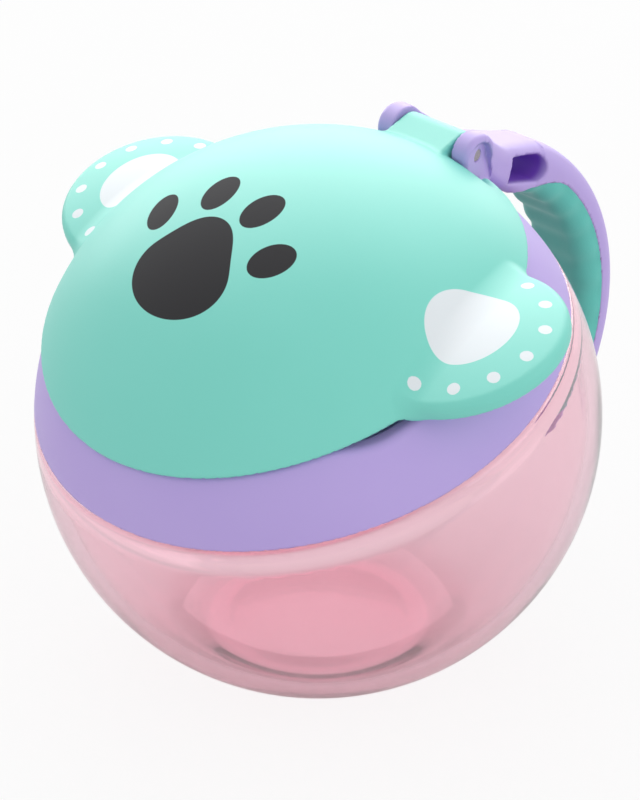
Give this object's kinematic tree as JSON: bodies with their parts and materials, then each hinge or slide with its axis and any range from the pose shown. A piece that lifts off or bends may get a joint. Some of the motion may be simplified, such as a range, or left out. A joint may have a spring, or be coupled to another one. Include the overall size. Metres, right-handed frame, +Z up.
{
  "type": "toddler snack container",
  "caption": "Ball-shaped snack cup with a clear bowl, a screw collar with a carrying handle, a ring of soft flaps and a hinged cover with ear lobes.",
  "frame": {"origin": "centre of the bowl's flat base", "axes": "+Z up, front of the cover towards -Y, hinge and handle towards +Y, +X to the right seen from the front"},
  "size_m": [0.101, 0.1135, 0.0891],
  "materials": {
    "clear_rose": "clear rose moulded plastic, polished",
    "milky_elastomer": "translucent soft elastomer, satin",
    "lavender_plastic": "lavender moulded plastic, fine satin",
    "mint_elastomer": "mint soft-touch elastomer, matt",
    "pin_steel": "plain steel dowel",
    "mint_plastic": "mint moulded plastic, satin"
  },
  "bodies": {
    "bowl": {"bowl": "clear_rose"},
    "flap_ring": {"flap_ring": "milky_elastomer"},
    "flap_1": {"flap_1": "milky_elastomer"},
    "flap_2": {"flap_2": "milky_elastomer"},
    "flap_3": {"flap_3": "milky_elastomer"},
    "flap_4": {"flap_4": "milky_elastomer"},
    "flap_5": {"flap_5": "milky_elastomer"},
    "flap_6": {"flap_6": "milky_elastomer"},
    "flap_7": {"flap_7": "milky_elastomer"},
    "flap_8": {"flap_8": "milky_elastomer"},
    "collar": {"collar": "lavender_plastic", "handle_grip": "mint_elastomer", "hinge_pin": "pin_steel"},
    "cover": {"cover": "mint_plastic"}
  },
  "joints": [
    {"name": "collar_lift", "type": "slide", "parent": "bowl", "child": "flap_ring", "axis": [0, -0.309, 0.9511], "range_m": [0, 0.008]},
    {"name": "collar_turn", "type": "hinge", "parent": "flap_ring", "child": "collar", "pos_m": [0, 0, 0.04212], "axis": [0, -0.309, 0.9511], "range_deg": [0, 360]},
    {"name": "cover_hinge", "type": "hinge", "parent": "collar", "child": "cover", "pos_m": [0, 0.02685, 0.08238], "axis": [-1, 0, 0], "range_deg": [0, 135]},
    {"name": "flap_1_bend", "type": "hinge", "parent": "flap_ring", "child": "flap_1", "pos_m": [0.0256, -0.00652, 0.06218], "axis": [0, -0.9511, -0.309], "range_deg": [-40, 60], "stiffness_Nm_per_rad": 0.004},
    {"name": "flap_2_bend", "type": "hinge", "parent": "flap_ring", "child": "flap_2", "pos_m": [0.0181, 0.0107, 0.06778], "axis": [0.7071, -0.6725, -0.2185], "range_deg": [-40, 60], "stiffness_Nm_per_rad": 0.004},
    {"name": "flap_3_bend", "type": "hinge", "parent": "flap_ring", "child": "flap_3", "pos_m": [0, 0.01783, 0.07009], "axis": [1, 0, 0], "range_deg": [-40, 60], "stiffness_Nm_per_rad": 0.004},
    {"name": "flap_4_bend", "type": "hinge", "parent": "flap_ring", "child": "flap_4", "pos_m": [-0.0181, 0.0107, 0.06778], "axis": [0.7071, 0.6725, 0.2185], "range_deg": [-40, 60], "stiffness_Nm_per_rad": 0.004},
    {"name": "flap_5_bend", "type": "hinge", "parent": "flap_ring", "child": "flap_5", "pos_m": [-0.0256, -0.00652, 0.06218], "axis": [0, 0.9511, 0.309], "range_deg": [-40, 60], "stiffness_Nm_per_rad": 0.004},
    {"name": "flap_6_bend", "type": "hinge", "parent": "flap_ring", "child": "flap_6", "pos_m": [-0.0181, -0.02374, 0.05659], "axis": [-0.7071, 0.6725, 0.2185], "range_deg": [-40, 60], "stiffness_Nm_per_rad": 0.004},
    {"name": "flap_7_bend", "type": "hinge", "parent": "flap_ring", "child": "flap_7", "pos_m": [0, -0.03087, 0.05427], "axis": [-1, 0, 0], "range_deg": [-40, 60], "stiffness_Nm_per_rad": 0.004},
    {"name": "flap_8_bend", "type": "hinge", "parent": "flap_ring", "child": "flap_8", "pos_m": [0.0181, -0.02374, 0.05659], "axis": [-0.7071, -0.6725, -0.2185], "range_deg": [-40, 60], "stiffness_Nm_per_rad": 0.004}
  ],
  "couplings": [
    {"joint": "collar_lift", "follows": "collar_turn", "m_per_rad": 0.0012732}
  ]
}
